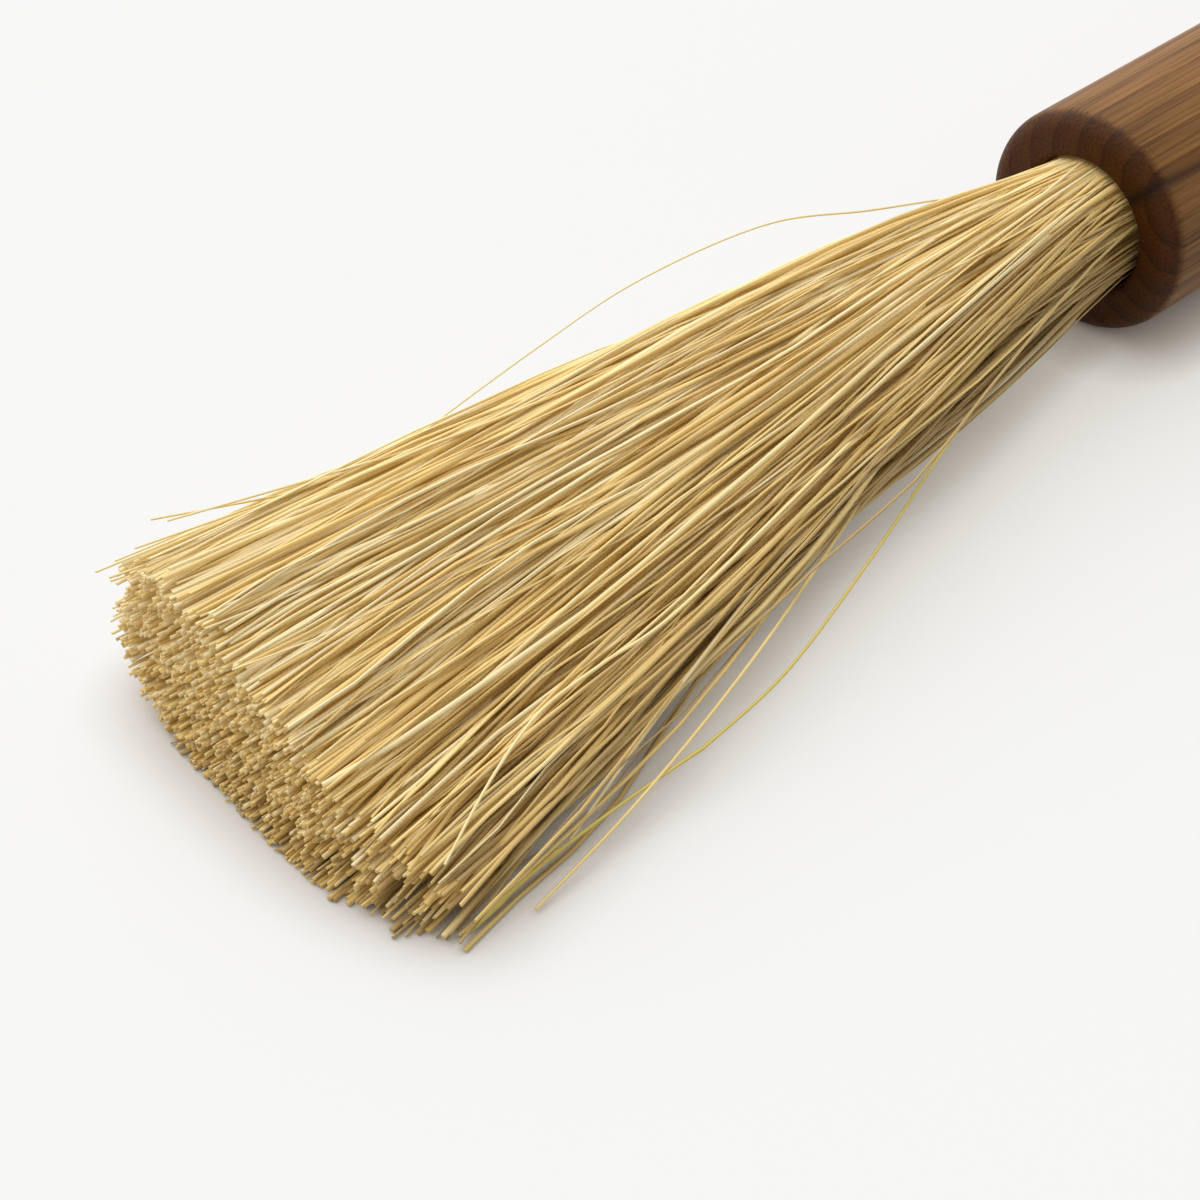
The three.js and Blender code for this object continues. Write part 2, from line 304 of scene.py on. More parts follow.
points = in_bundle("GeometryNodePoints", {"Count": given["Fibre Count"]})
number = in_bundle("GeometryNodeInputIndex")
share = in_bundle(MATH, [number, 0.5], "ADD")
share = in_bundle(MATH, [share, given["Fibre Count"]], "DIVIDE")
from_axis = in_bundle(MATH, [share], "SQRT")
angle = in_bundle(MATH, [number, GOLDEN_ANGLE], "MULTIPLY")
spoke = in_bundle("ShaderNodeCombineXYZ", {"Y": from_axis})
seed_place = in_bundle("ShaderNodeVectorRotate", {"Vector": spoke, "Angle": angle}, rotation_type="X_AXIS")
nudge = in_bundle(RANDOM, {0: (0, -NUDGE, -NUDGE), 1: (0, NUDGE, NUDGE), "Seed": 1}, data_type="FLOAT_VECTOR")
disc = in_bundle(VECTOR, [seed_place, nudge], "ADD")
print("seeds turn by", round(math.degrees(GOLDEN_ANGLE), 1), "degrees")

# %% [markdown]
# ### Tufts
#
# Fibres cling together in tufts as wide as a few millimetres. A Voronoi pattern over the disc cuts it into
# cells, and each cell is a tuft: its fibres gather a little towards the cell's middle, and all of them lean
# the same way. On top of that, each fibre has a lean of its own. Most lean very little and a few a lot,
# because the random vector is multiplied by its own length. Whatever leans out of the disc is led back to
# its rim, so the fan keeps its clean edge. Towards the near side the bundle has been combed loose, and its
# tufts stand further apart there.

# %% Gather the fibres in tufts and let them lean
FLATTER = 0.35  # tufts are wider than they are thick
LOOSE_FROM = 0.1
LOOSE_FULLY = -0.9
LOOSE_GATHER = 0.3
RIM_LEAST = 0.86
RIM_MOST = 1.02

flat_disc = in_bundle(VECTOR, [disc, (1, 1, FLATTER)], "MULTIPLY")
tuft = in_bundle("ShaderNodeTexVoronoi", {"Vector": flat_disc, "Scale": given["Tuft Scale"]})
to_middle = in_bundle(VECTOR, [tuft.outputs["Position"], flat_disc], "SUBTRACT")
to_middle = in_bundle(VECTOR, [to_middle, (0, 1, FLATTER)], "DIVIDE")
spread = in_bundle("ShaderNodeSeparateXYZ", [disc]).outputs
loose = in_bundle(MAP_RANGE, [spread["Y"], LOOSE_FROM, LOOSE_FULLY], interpolation_type="SMOOTHSTEP")
pull = in_bundle(MATH, [loose, LOOSE_GATHER, given["Tuft Gather"]], "MULTIPLY_ADD")
gather = in_bundle(VECTOR, {0: to_middle, "Scale": pull}, "SCALE")
tuft_lean = in_bundle(VECTOR, [tuft.outputs["Color"], MIDDLE], "SUBTRACT")
tuft_lean = in_bundle(VECTOR, {0: tuft_lean, "Scale": given["Tuft Lean"]}, "SCALE")
own_way = in_bundle(RANDOM, {0: (0, -1, -1), 1: (0, 1, 1), "Seed": 2}, data_type="FLOAT_VECTOR")
how_far = in_bundle(VECTOR, [own_way], "LENGTH")
how_far = in_bundle(MATH, [how_far, given["Own Lean"]], "MULTIPLY")
own_lean = in_bundle(VECTOR, {0: own_way, "Scale": how_far}, "SCALE")
tip_place = disc
for step in (gather, tuft_lean, own_lean):
    tip_place = in_bundle(VECTOR, [tip_place, step], "ADD")
tip_place = in_bundle(VECTOR, [tip_place, (0, 1, 1)], "MULTIPLY")
reach_out = in_bundle(VECTOR, [tip_place], "LENGTH")
limit = in_bundle(RANDOM, {2: RIM_LEAST, 3: RIM_MOST, "Seed": 8})
reach_out = in_bundle(MATH, [reach_out, limit], "MAXIMUM")
led_back = in_bundle(MATH, [limit, reach_out], "DIVIDE")
tip_place = in_bundle(VECTOR, {0: tip_place, "Scale": led_back}, "SCALE")
tuft_width = BUNDLE_SIZES["Half Width"] / BUNDLE_SIZES["Tuft Scale"]
print("tufts are about", round(tuft_width / MM, 1), "mm wide at the tip")

# %% [markdown]
# ### From the round mouth to the flat tip
#
# A superellipse is the curve between a circle and a rectangle, and it is the outline of the cut tip. Each
# place on the disc moves out along its own spoke until the rim lies on that curve. Then it is stretched to
# the fan's width and thickness. The fan is thicker on its far side, so the height above the table grows
# with Y. Where the bundle is loose, the tips scatter, and a little more inward than outward.

# %% Square the disc up and stretch it to the tip
TIP_SQUARENESS = 2.8
FRAY_INWARD = 0.36
FRAY_WAYS = (0, 1, 0.5)  # mostly sideways

away = in_bundle(VECTOR, [tip_place], "ABSOLUTE")
away = in_bundle("ShaderNodeSeparateXYZ", [away]).outputs
parts = [in_bundle(MATH, [away[axis], TIP_SQUARENESS], "POWER") for axis in "YZ"]
rim = in_bundle(MATH, parts, "ADD")
rim = in_bundle(MATH, [rim, 1 / TIP_SQUARENESS], "POWER")
spoke_length = in_bundle(VECTOR, [tip_place], "LENGTH")
swell = in_bundle(MATH, [spoke_length, rim], "DIVIDE")
squared = in_bundle(VECTOR, {0: tip_place, "Scale": swell}, "SCALE")
squared = in_bundle("ShaderNodeSeparateXYZ", [squared]).outputs
tip_y = in_bundle(MATH, [squared["Y"], given["Half Width"], given["Fan Shift"]], "MULTIPLY_ADD")
wedge = in_bundle(MATH, [squared["Y"], given["Thicker Far Side"], 1.0], "MULTIPLY_ADD")
height = squared["Z"]
for operation, value in (("ADD", 1.0), ("MULTIPLY", wedge), ("SUBTRACT", 1.0)):
    height = in_bundle(MATH, [height, value], operation)
tip_z = in_bundle(MATH, [height, given["Half Thickness"]], "MULTIPLY")
tip = in_bundle("ShaderNodeCombineXYZ", {"Y": tip_y, "Z": tip_z})
fray = in_bundle(MATH, [loose, given["Fray"]], "MULTIPLY")
frayed = in_bundle(VECTOR, [own_way, (0, FRAY_INWARD, 0)], "ADD")
frayed = in_bundle(VECTOR, {0: frayed, "Scale": fray}, "SCALE")
frayed = in_bundle(VECTOR, [frayed, FRAY_WAYS], "MULTIPLY")
tip = in_bundle(VECTOR, [tip, frayed], "ADD")
mouth = in_bundle(VECTOR, {0: disc, "Scale": given["Mouth Radius"]}, "SCALE")
print("the tip is", 2 * BUNDLE_SIZES["Half Width"] / MM, "mm wide")

# %% [markdown]
# ### What each fibre carries
#
# These values are stored on the points, so that every step of a fibre can read them later. The cut is
# uneven and slanted, and it is rounded at the near corner. The far side of the bundle gets painted light,
# the near side painted shade, and the underside more painted shade. Some of the loose fibres at the near
# side have been combed out. A hank keeps only the fibres on its own side of the seams, which is what the
# product with Side picks out.

# %% Store the values of each fibre, and keep one hank
CUT_POWER = 2.5  # most fibres are cut close to the full length, and few are much shorter
CUT_BACK = 0.6 * MM
CORNER_FROM = -0.4
# Painted light and shade: the far side, towards the light, is painted lighter, the near side darker, and the
# underside darker still.
NEAR_SIDE_PAINTED_SHADE = -0.42
FAR_SIDE_PAINTED_LIGHT = 0.6
UNDERSIDE = (0.3, -0.6)
UNDERSIDE_PAINTED_SHADE = -0.5
RANDOM_VALUES = {"tone": (0, 1), "girth": (0.6, 1.55), "twist": (0, math.pi)}

cut = in_bundle(RANDOM, {2: 0.0, 3: 1.0, "Seed": 3})
cut = in_bundle(MATH, [cut, CUT_POWER], "POWER")
cut = in_bundle(MATH, [cut, given["Uneven Cut"]], "MULTIPLY")
slant = in_bundle(MATH, [squared["Y"], squared["Z"]], "ADD")
slant = in_bundle(MATH, [slant, given["Slanted Cut"], CUT_BACK], "MULTIPLY_ADD")
corner = in_bundle(MAP_RANGE, [squared["Y"], CORNER_FROM, -1.0])
corner = in_bundle(MATH, [corner, 2.0], "POWER")
corner = in_bundle(MATH, [corner, given["Rounded Corner"]], "MULTIPLY")
for more in (slant, corner):
    cut = in_bundle(MATH, [cut, more], "ADD")
# Painted light on the far side, painted shade on the near side and on the underside.
bleached = in_bundle(MAP_RANGE, [spread["Y"], -1.0, 1.0, NEAR_SIDE_PAINTED_SHADE, FAR_SIDE_PAINTED_LIGHT])
painted_underside_shade = in_bundle(MAP_RANGE, [spread["Z"], *UNDERSIDE, 0.0, UNDERSIDE_PAINTED_SHADE])
bleached = in_bundle(MATH, [bleached, painted_underside_shade], "ADD")
OWN_VALUES = {
    "mouth": ("FLOAT_VECTOR", mouth),
    "tip": ("FLOAT_VECTOR", tip),
    "tuft": ("FLOAT_VECTOR", tuft.outputs["Color"]),
    "loose": ("FLOAT", loose),
    "bleached": ("FLOAT", bleached),
    "cut": ("FLOAT", cut),
}
for seed, (name, (least, most)) in enumerate(RANDOM_VALUES.items(), 4):
    chosen = {2: least, 3: most, "Seed": seed}
    OWN_VALUES[name] = ("FLOAT", in_bundle(RANDOM, chosen))
cloud = points
for name, (kind, value) in OWN_VALUES.items():
    stored = {"Geometry": cloud, "Name": name, "Value": value}
    cloud = in_bundle("GeometryNodeStoreNamedAttribute", stored, data_type=kind)
sided = in_bundle(VECTOR, [disc, given["Side"]], "MULTIPLY")
sided = in_bundle("ShaderNodeSeparateXYZ", [sided]).outputs
nearest = in_bundle(MATH, [sided["Y"], sided["Z"]], "MINIMUM")
other_side = in_bundle("FunctionNodeCompare", [nearest, 0.0], "LESS_THAN")
missing = in_bundle(MATH, [loose, given["Thinning"]], "MULTIPLY")
chance = in_bundle(RANDOM, {2: 0.0, 3: 1.0, "Seed": 9})
combed_out = in_bundle("FunctionNodeCompare", [chance, missing], "LESS_THAN")
gone = in_bundle("FunctionNodeBooleanMath", [other_side, combed_out], "OR")
cloud = in_bundle("GeometryNodeDeleteGeometry", [cloud, gone], domain="POINT")
print("each fibre carries", ", ".join(OWN_VALUES))

# %% [markdown]
# ### Along the fibre
#
# A straight line with a few steps stands on every point. "along" runs from 0 at the root to 1 at the cut
# end. The first steps stay inside the socket, where the roots are drawn in by the twine. The others open
# from the mouth to the tip, and sag until the fan's underside rests on the table.

# %% Lead each fibre from its root to its cut end
ROOT_STEPS = 5
FREE_STEPS = 15
STEPS = ROOT_STEPS + FREE_STEPS
AT_MOUTH = ROOT_STEPS / STEPS
BOUND_FROM = -6 * MM
BOUND_FULLY = -8.6 * MM
LOOSE_OPENS_LATER = 0.2

line = in_bundle("GeometryNodeCurvePrimitiveLine")
line = in_bundle("GeometryNodeResampleCurve", {"Curve": line, "Count": STEPS + 1}, mode="COUNT")
lines = in_bundle("GeometryNodeInstanceOnPoints", {"Points": cloud, "Instance": line})
lines = in_bundle("GeometryNodeRealizeInstances", {"Geometry": lines})
factor = in_bundle("GeometryNodeSplineParameter").outputs["Factor"]
stored = {"Geometry": lines, "Name": "along", "Value": factor}
lines = in_bundle("GeometryNodeStoreNamedAttribute", stored)
carried = {"along": "FLOAT", **{name: kind for name, (kind, value) in OWN_VALUES.items()}}
own = {
    name: in_bundle("GeometryNodeInputNamedAttribute", {"Name": name}, data_type=kind)
    for name, kind in carried.items()
}
deep = in_bundle(MATH, [given["Root Depth"], -1.0], "MULTIPLY")
inside = in_bundle(MAP_RANGE, [own["along"], 0.0, AT_MOUTH, deep, 0.0])
length = in_bundle(MATH, [given["Free Length"], own["cut"]], "SUBTRACT")
outside = in_bundle(MAP_RANGE, [own["along"], AT_MOUTH, 1.0, 0.0, length])
out = in_bundle(MATH, [inside, outside], "ADD")
reach = in_bundle(MATH, [outside, given["Free Length"]], "DIVIDE")
late = in_bundle(MATH, [own["loose"], LOOSE_OPENS_LATER, given["Fan Power"]], "MULTIPLY_ADD")
opened = in_bundle(MATH, [reach, late], "POWER")
sagged = in_bundle(MATH, [reach, given["Sag Power"]], "POWER")
on_the_way = in_bundle("ShaderNodeCombineXYZ", [opened, opened, reach])
bound = in_bundle(MATH, [given["Bound Radius"], given["Mouth Radius"]], "DIVIDE")
bound = in_bundle(MAP_RANGE, [inside, BOUND_FULLY, BOUND_FROM, bound, 1.0], interpolation_type="SMOOTHSTEP")
start = in_bundle(VECTOR, {0: own["mouth"], "Scale": bound}, "SCALE")
path = {1: on_the_way, 4: start, 5: own["tip"]}
path = in_bundle("ShaderNodeMix", path, data_type="VECTOR", factor_mode="NON_UNIFORM")
back = in_bundle(MATH, [out, -1.0], "MULTIPLY")
sag = in_bundle(MATH, [sagged, given["Sag"]], "MULTIPLY")
down = in_bundle(MATH, [sag, -1.0], "MULTIPLY")
shift = in_bundle("ShaderNodeCombineXYZ", {"X": back, "Z": down})
path = in_bundle(VECTOR, [path, shift], "ADD")
print("a fibre has", STEPS, "steps,", ROOT_STEPS, "of them in the socket")

# %% [markdown]
# ### Bends
#
# No fibre is straight. Each follows its own slow noise, and each tuft bows as a whole. The tuft's bow fades
# out at both ends. A fibre's own bend grows from the mouth. It is larger at the loose edge and in thin
# fibres, because they are more limber than thick ones. The table holds up what would sink into it.

# %% Bend the fibres
OWN_WAVES = 2.9
TUFT_WAVES = 1.8
THIN_BEND = 1.9
THICK_BEND = 0.5
BEND_WAYS = (0, 1, 0.6)  # mostly sideways
LYING_HEIGHT = 1.95 * FIBRE_RADIUS
OWN_ROWS = 400.0
TUFT_ROWS = 40.0
BELLY = 4.0  # reach times rest is a quarter at most

own_row = in_bundle(MATH, [own["tone"], OWN_ROWS], "MULTIPLY")
own_where = in_bundle(MATH, [reach, OWN_WAVES], "MULTIPLY")
own_where = in_bundle("ShaderNodeCombineXYZ", [own_where, own_row, own["girth"]])
own_noise = in_bundle("ShaderNodeTexNoise", {"Vector": own_where, "Scale": 1.0, "Detail": 1.0})
limber = in_bundle(MAP_RANGE, [own["girth"], *RANDOM_VALUES["girth"], THIN_BEND, THICK_BEND])
own_size = in_bundle(MATH, [own["loose"], 1.0, limber], "MULTIPLY_ADD")
own_size = in_bundle(MATH, [reach, own_size], "MULTIPLY")
own_size = in_bundle(MATH, [own_size, given["Own Bow"]], "MULTIPLY")
tuft_row = in_bundle(VECTOR, {0: own["tuft"], "Scale": TUFT_ROWS}, "SCALE")
tuft_where = in_bundle(MATH, [reach, TUFT_WAVES], "MULTIPLY")
tuft_where = in_bundle("ShaderNodeCombineXYZ", [tuft_where])
tuft_where = in_bundle(VECTOR, [tuft_where, tuft_row], "ADD")
tuft_noise = in_bundle("ShaderNodeTexNoise", {"Vector": tuft_where, "Scale": 1.0, "Detail": 0.0})
rest = in_bundle(MATH, [1.0, reach], "SUBTRACT")
tuft_size = reach
for value in (rest, BELLY, given["Tuft Bow"]):
    tuft_size = in_bundle(MATH, [tuft_size, value], "MULTIPLY")
for noise, size in ((own_noise, own_size), (tuft_noise, tuft_size)):
    way = in_bundle(VECTOR, [noise.outputs["Color"], MIDDLE], "SUBTRACT")
    way = in_bundle(VECTOR, [way, BEND_WAYS], "MULTIPLY")
    way = in_bundle(VECTOR, {0: way, "Scale": size}, "SCALE")
    path = in_bundle(VECTOR, [path, way], "ADD")
table_level = (-1, -1, LYING_HEIGHT - HANDLE_RADIUS)
path = in_bundle(VECTOR, [path, table_level], "MAXIMUM")
path = in_bundle(VECTOR, [path, MOUTH], "ADD")
bent = in_bundle("GeometryNodeSetPosition", {"Geometry": lines, "Position": path})
print("own bend up to", BUNDLE_SIZES["Own Bow"] / MM / 2, "mm")

# %% [markdown]
# ### The fibre's body
#
# A small flattened ring is swept along each path, turned a little differently on every fibre, and its ends
# are closed, because the cut ends of the fibres are what one sees of the tip. The listed stray fibres need
# the same body, so it is a small tree of its own, which other trees hold as one node.

# %% A tree that gives a path its body
FIBRE_SIDES = 5
FLATTENED = (1.25, 0.8, 1.0)


def swept(add, curves, material):
    """The end of a tree: a ring is swept along a path, closed at both ends and given its material."""
    body = add("GeometryNodeCurveToMesh", {**curves, "Fill Caps": True})
    for kind in ("GeometryNodeSetShadeSmooth", "GeometryNodeRealizeInstances"):
        body = add(kind, {"Geometry": body})
    body = add("GeometryNodeSetMaterial", {"Geometry": body, "Material": material})
    add("NodeGroupOutput", [body])


sockets = {"Curves": "Geometry", "Radius": FIBRE_RADIUS, "Material": "Material"}
FIBRE_BODY, in_body, asked = new_tree("fibre_body", sockets)
twist, girth = [in_body("GeometryNodeInputNamedAttribute", {"Name": name}) for name in ("twist", "girth")]
turned_path = in_body("GeometryNodeSetCurveTilt", {"Curve": asked["Curves"], "Tilt": twist})
ring = in_body("GeometryNodeCurvePrimitiveCircle", {"Resolution": FIBRE_SIDES, "Radius": asked["Radius"]})
ring = in_body("GeometryNodeTransform", {"Geometry": ring, "Scale": FLATTENED})
swept(in_body, {"Curve": turned_path, "Profile Curve": ring, "Scale": girth}, asked["Material"])

bodies = {"Curves": bent, "Radius": FIBRE_RADIUS, "Material": given["Material"]}
bodies = in_bundle("GeometryNodeGroup", bodies, node_tree=FIBRE_BODY)
in_bundle("NodeGroupOutput", [bodies])
print("the bundle's tree has", len(BUNDLE.nodes), "nodes")


# %% Grow the four hanks
def grown(name, tree, values, guides=None):
    """An object with the mesh that a tree makes from these values, or from guide lines."""
    piece = placed(name, guides or bpy.data.meshes.new(name))
    modifier = piece.modifiers.new("grow", "NODES")
    modifier.node_group = tree
    for socket in tree.interface.items_tree:
        if socket.in_out == "INPUT" and socket.name in values:
            modifier[socket.identifier] = values[socket.name]
    finished = piece.evaluated_get(bpy.context.evaluated_depsgraph_get())
    mesh = bpy.data.meshes.new_from_object(finished)
    piece.modifiers.remove(modifier)
    piece.data = mesh
    mesh.name = name
    return piece


for node, (side_y, side_z) in HANKS.items():
    values = {"Side": (0, side_y, side_z), "Material": AGAVE}
    hank = grown(node.replace("bristles", "fibres"), BUNDLE, values)
    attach(hank, "root")
    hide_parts(node)
    print(hank.name, "has", len(hank.data.polygons), "faces")

# %% [markdown]
# ## Stray fibres
#
# A few fibres have left the bundle, and they are what makes it look hand-made: a long one that is still green
# and has small knots, two pale ones and a low one at the loose edge, one that bows away from the bundle's
# back, one that stands off the far corner, and four short wisps beside it. They follow no rule, so each is
# listed point by point. The points are guides for the same fibre body: a curve runs smoothly
# through them, and a thicker point is a knot.

# %% Place the stray fibres
# Each has its tone and its points: mm along X from the mouth, to the far side and up, and the thickness.
GREEN_SHARE = 0.75
STRAY_STEPS = 90
STRAYS = {
    "green": (0.35, [
        (-2, -4.5, -1.5, 0.8), (-16, -7.5, -2.5, 0.8), (-33.6, -12.2, -3.5, 0.8), (-53.9, -18.7, -5, 0.8),
        (-69.3, -22.6, -7, 0.8), (-80, -23.1, -8.8, 0.9), (-81.5, -23, -9, 1.5), (-83, -22.9, -9.2, 0.9),
        (-90.6, -22.4, -10, 0.9), (-97, -22, -11, 1), (-98.2, -22, -11.1, 1.6), (-99.6, -22.1, -11.2, 1),
        (-103.5, -22.3, -11.6, 1.2), (-105.5, -22.5, -11.8, 1.9), (-109, -22.9, -12.3, 0.8),
    ]),
    "bowed": (0.9, [
        (-2, 4, 4, 0.8), (-12, 6, 6.5, 0.8), (-25.1, 8.9, 9, 0.8), (-37, 12.6, 10.8, 0.7),
        (-53, 14.7, 10.4, 0.6), (-66, 16.2, 7.4, 0.6), (-80, 17.6, 3.4, 0.6),
    ]),
    "far_corner": (0.5, [
        (-45, 7, 3, 0.8), (-66, 10.6, 2.8, 0.8), (-85.2, 14.9, 3.2, 0.8), (-96, 19, 4, 0.7),
        (-107, 23.6, 4.6, 0.6),
    ]),
    "pale_curl": (0.8, [
        (-36, -7.5, 1.5, 0.9), (-60, -13.2, 2.2, 0.9), (-78.8, -16.5, 1.6, 0.9), (-86.6, -16, 0.6, 0.9),
        (-93.9, -15.6, -0.9, 0.9), (-101, -17.2, -3, 0.8), (-109, -20, -6, 0.7),
    ]),
    "pale_edge": (0.95, [
        (-40, -9.5, -2, 1), (-62, -14.2, -3.2, 1), (-77.5, -17.9, -5.2, 0.9), (-86.5, -19.6, -8.2, 0.9),
        (-96, -21.6, -11.2, 0.8),
    ]),
    "far_wisp": (0.9, [
        (-50, 9, 2.5, 0.8), (-78, 14.5, 2.8, 0.8), (-98, 19.5, 3.4, 0.8), (-114.5, 21.8, 3.8, 0.7),
    ]),
    "low_wisp": (0.8, [
        (-56, 9.5, 1.5, 0.9), (-84, 15.5, 2, 0.9), (-101, 18.6, 2.8, 0.8), (-113.7, 20.9, 3.2, 0.7),
    ]),
    "top_wisp": (0.6, [
        (-52, 9, 3.2, 0.7), (-80, 15.5, 4, 0.7), (-97, 18.2, 4.6, 0.7), (-110.8, 20.6, 5.2, 0.6),
    ]),
    "short_wisp": (0.9, [
        (-48, 8, 3.2, 0.8), (-74, 13.5, 4, 0.8), (-92, 18, 4.6, 0.8), (-106.2, 22, 5, 0.7),
    ]),
    "low_edge": (0.7, [
        (-48, -12.5, -4, 0.9), (-70, -19.4, -6.4, 0.9), (-88, -23, -9.8, 0.9), (-103, -24.8, -12.4, 0.8),
    ]),
}

places = []
links = []
marks = {"girth": [], "tone": [], "green": [], "along": []}
for name, (tone, stray) in STRAYS.items():
    for step, (x, y, z, girth) in enumerate(stray):
        if step > 0:
            links.append((len(places) - 1, len(places)))
        places.append(MOUTH + Vector((x, y, z)) * MM)
        marks["girth"].append(girth)
        marks["tone"].append(tone)
        marks["green"].append(GREEN_SHARE if name == "green" else 0.0)
        marks["along"].append(step / len(stray))
guides = bpy.data.meshes.new("stray_guides")
guides.from_pydata(places, links, [])
for name, values in marks.items():
    guides.attributes.new(name, "FLOAT", "POINT").data.foreach_set("value", values)

sockets = {"Guides": "Geometry", "Steps": STRAY_STEPS, "Radius": FIBRE_RADIUS, "Material": "Material"}
STRAY_TREE, in_strays, asked = new_tree("stray_fibres", sockets)
curves = in_strays("GeometryNodeMeshToCurve", {"Mesh": asked["Guides"]})
curves = in_strays("GeometryNodeCurveSplineType", {"Curve": curves}, spline_type="CATMULL_ROM")
curves = in_strays("GeometryNodeResampleCurve", {"Curve": curves, "Count": asked["Steps"]}, mode="COUNT")
bodies = {"Curves": curves, "Radius": asked["Radius"], "Material": asked["Material"]}
bodies = in_strays("GeometryNodeGroup", bodies, node_tree=FIBRE_BODY)
in_strays("NodeGroupOutput", [bodies])

strays = grown("stray_fibres", STRAY_TREE, {"Material": AGAVE}, guides)
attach(strays, "root")
print("the", len(STRAYS), "stray fibres have", len(strays.data.polygons), "faces")

# %% [markdown]
# ## The wood
#
# The handle is turned from a straight-grained brown hardwood and rubbed with oil. Every year's ring runs the
# length of the stick, so the rings show as long stripes on the side and as arcs on the sawn end. One solid
# pattern of rings, bent a little, gives both. Fine dark pores follow the grain. Oil soaks deep into end grain
# and makes it much darker, so the socket's face and rounded edge are nearly black-brown. One dark streak runs
# back from the mouth.

# %% Oiled hardwood
RING_SPACING = 3.1 * MM
RING_TONES = {0.0: "#8E6539", 0.45: "#845D33", 0.8: "#78532E", 1.0: "#684625"}
PITH = (0, 14 * MM, -22 * MM)
LEAN = (0, math.radians(0.8), math.radians(1.0))
WANDER = 1.4 * MM
WANDER_SCALE = (14, 120, 120)  # per metre, so a ring wanders slowly along the stick and faster across it
WAVE_PERIOD = 0.314  # how far apart the rings of Blender's wave texture lie at a scale of 1
PORE_LENGTH = 7 * MM
PORE_WIDTH = 0.16 * MM
PORE_SHADE = (0.36, 0.56, 0.62, 1.0)
PORE_ROUGHNESS = (0.3, 0.7, 0.62, 0.44)
STREAK = "#452C16"
SOAKED = "#8A6D18"


def oiled_hardwood():
    """Solid brown hardwood, turned and oiled: stripes along the side, dark and dull on the end grain."""
    material, add = new_material("oiled_hardwood")
    place = add("ShaderNodeTexCoord").outputs["Object"]
    wander = add("ShaderNodeMapping", {"Vector": place, "Scale": WANDER_SCALE})
    wander = add("ShaderNodeTexNoise", {"Vector": wander, "Scale": 1.0, "Detail": 3.0})
    wander = add(VECTOR, [wander.outputs["Color"], MIDDLE], "SUBTRACT")
    wander = add(VECTOR, {0: wander, "Scale": WANDER}, "SCALE")
    bent = add(VECTOR, [place, wander], "ADD")
    bent = add("ShaderNodeMapping", {"Vector": bent, "Location": PITH, "Rotation": LEAN})
    rings = add(
        "ShaderNodeTexWave",
        {"Vector": bent, "Scale": WAVE_PERIOD / RING_SPACING, "Detail": 0.0},
        wave_type="RINGS",
        rings_direction="X",
        wave_profile="SAW",
    )
    ring_colour = add("ShaderNodeValToRGB", [rings.outputs["Fac"]])
    set_stops(ring_colour.color_ramp, RING_TONES)
    pore_scale = (1 / PORE_LENGTH, 1 / PORE_WIDTH, 1 / PORE_WIDTH)
    pores = add("ShaderNodeMapping", {"Vector": place, "Scale": pore_scale})
    pores = add("ShaderNodeTexNoise", {"Vector": pores, "Scale": 0.5, "Detail": 2.0})
    pore_dark = add(MAP_RANGE, [pores, *PORE_SHADE])
    rough = add(MAP_RANGE, [pores, *PORE_ROUGHNESS])
    side = {0: 1.0, 6: ring_colour, 7: pore_dark}
    side = add("ShaderNodeMix", side, data_type="RGBA", blend_type="MULTIPLY")
    streak, end_grain = [
        add("ShaderNodeAttribute", attribute_name=name).outputs["Fac"]
        for name in ("streak", "end_grain")
    ]
    side = add("ShaderNodeMix", {0: streak, 6: side, 7: linear(STREAK)}, data_type="RGBA")
    soaked = {0: 1.0, 6: side, 7: linear(SOAKED)}
    soaked = add("ShaderNodeMix", soaked, data_type="RGBA", blend_type="MULTIPLY")
    colour = add("ShaderNodeMix", {0: end_grain, 6: side, 7: soaked}, data_type="RGBA")
    grain = add("ShaderNodeBump", {"Strength": 0.5, "Distance": 0.08 * MM, "Height": pore_dark})
    surface = {"Base Color": colour, "Roughness": rough, "IOR": 1.48, "Specular IOR Level": 0.15}
    surface = add("ShaderNodeBsdfPrincipled", {**surface, "Normal": grain})
    add("ShaderNodeOutputMaterial", [surface])
    return material


WOOD = oiled_hardwood()
print("made", WOOD.name)

# %% [markdown]
# ## The handle
#
# A turned piece is a profile spun about its axis. The profile starts at the bottom of the socket, comes out
# over the eased inner edge, crosses the flat end, rolls over the rounded outer edge and runs straight back.
# It thins to a waist and swells to the butt. The rings lie half a millimetre apart near the mouth, so that
# the shallow drying check beside the dark streak can be pressed into the wood, and the end grain can darken
# softly round the edge.

# %% Draw the handle's profile
STRAIGHT_LENGTH = 84 * MM
WAIST_RADIUS = 10.4 * MM
WAIST = HANDLE_LENGTH - 27 * MM
BUTT_RADIUS = 11.6 * MM
BUTT_ROUND = 5.2 * MM
MOUTH_ROUND = 2.4 * MM
MOUTH_EASE = 0.7 * MM
SOCKET_RADIUS = 8.05 * MM
SOCKET_DEPTH = 30 * MM
CURVE_EASE = 0.4  # how far a curve keeps to its first direction, as a share
RING_STEP = 0.5 * MM
FINE_RINGS = 59


def quarter_round(along, radius, size, start, end, steps=14):
    """Points of an arc about (along, radius), as (along, radius) pairs, with its angles in degrees."""
    angles = [math.radians(start + (end - start) * i / steps) for i in range(steps + 1)]
    return [(along + size * math.cos(a), radius + size * math.sin(a)) for a in angles]


def eased(start, end, steps):
    """A smooth stretch of outline between two (along, radius) points, level at both ends."""
    first = Vector((*start, 0))
    last = Vector((*end, 0))
    reach = Vector((CURVE_EASE * (end[0] - start[0]), 0, 0))
    points = interpolate_bezier(first, first + reach, last - reach, last, steps)
    return [(p.x, p.y) for p in points]


